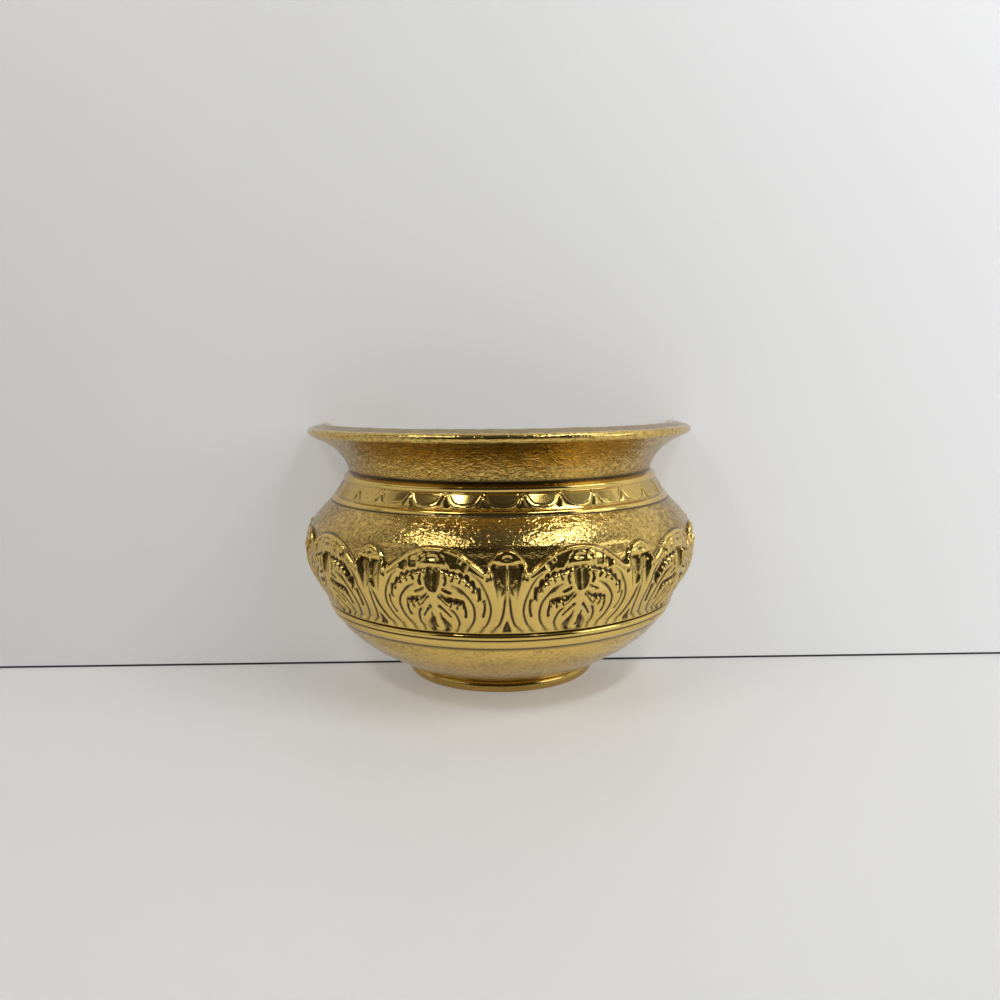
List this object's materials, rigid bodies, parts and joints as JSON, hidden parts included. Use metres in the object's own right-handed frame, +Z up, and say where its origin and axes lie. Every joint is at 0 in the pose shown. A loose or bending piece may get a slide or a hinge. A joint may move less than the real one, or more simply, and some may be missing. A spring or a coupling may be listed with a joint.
{
  "type": "wall pocket planter",
  "caption": "Half-round embossed brass wall pocket planter: rolled rim, flared neck, leaf frieze, round bowl on a foot ring, flat back plate with a hanging keyhole.",
  "frame": {"origin": "on the wall plane, on the middle line, at the level of the surface that the foot stands on", "axes": "+X to the right seen from the front, +Y into the wall, +Z up"},
  "size_m": [0.24, 0.12, 0.1554],
  "materials": {
    "pressed_brass": "hammered and polished, dark patina in the recesses",
    "plate_brass": "plain rolled sheet, dull and a little tarnished",
    "foot_brass": "smooth polish",
    "soft_solder": "dull grey, wiped"
  },
  "bodies": {
    "root": {"front_shell": "pressed_brass", "back_plate": "plate_brass", "foot_ring": "foot_brass", "back_seam_solder": "soft_solder", "foot_seam_solder": "soft_solder"}
  },
  "joints": []
}
